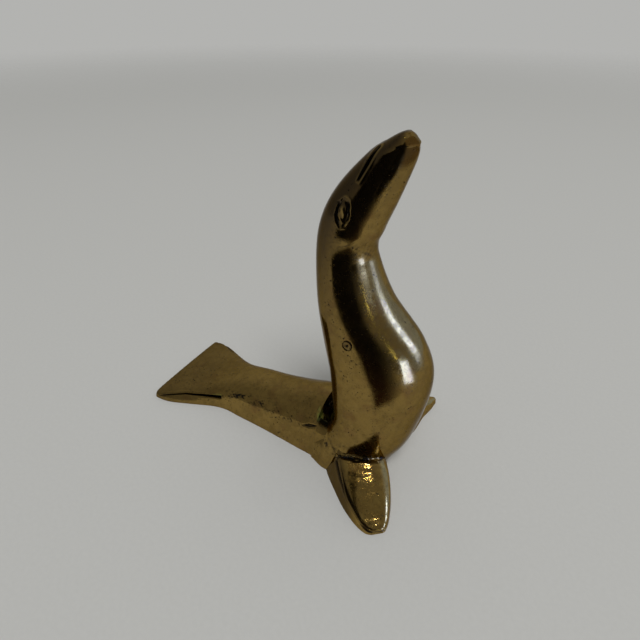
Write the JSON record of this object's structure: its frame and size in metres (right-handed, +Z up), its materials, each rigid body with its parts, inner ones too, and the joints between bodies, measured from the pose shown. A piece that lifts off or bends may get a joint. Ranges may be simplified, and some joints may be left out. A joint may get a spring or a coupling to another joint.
{
  "type": "seal figurine",
  "caption": "Aged brass figurine of a sea lion sitting upright with its nose in the air, tail flat behind it and fore flippers spread, for standing on a shelf or table.",
  "frame": {"origin": "on the table, halfway along the figure's length, in the plane between its two sides", "axes": "+X is the way the seal faces, +Y is its left side, +Z is up"},
  "size_m": [0.088, 0.0557, 0.0915],
  "materials": {
    "aged_brass": "polished, tarnished olive brown",
    "bright_brass": "polished, brighter where it is handled",
    "braze": "rough filler, dark in its pits",
    "pin_brass": "plain drawn rod"
  },
  "bodies": {
    "root": {"body": "aged_brass", "tail": "aged_brass", "fore_flipper_right": "bright_brass", "fore_flipper_left": "bright_brass", "tail_dowel_right": "pin_brass", "tail_dowel_left": "pin_brass", "flipper_dowel_right": "pin_brass", "flipper_dowel_left": "pin_brass", "tail_braze": "braze", "flipper_braze_right": "braze", "flipper_braze_left": "braze", "casting_plug": "pin_brass"}
  },
  "joints": []
}
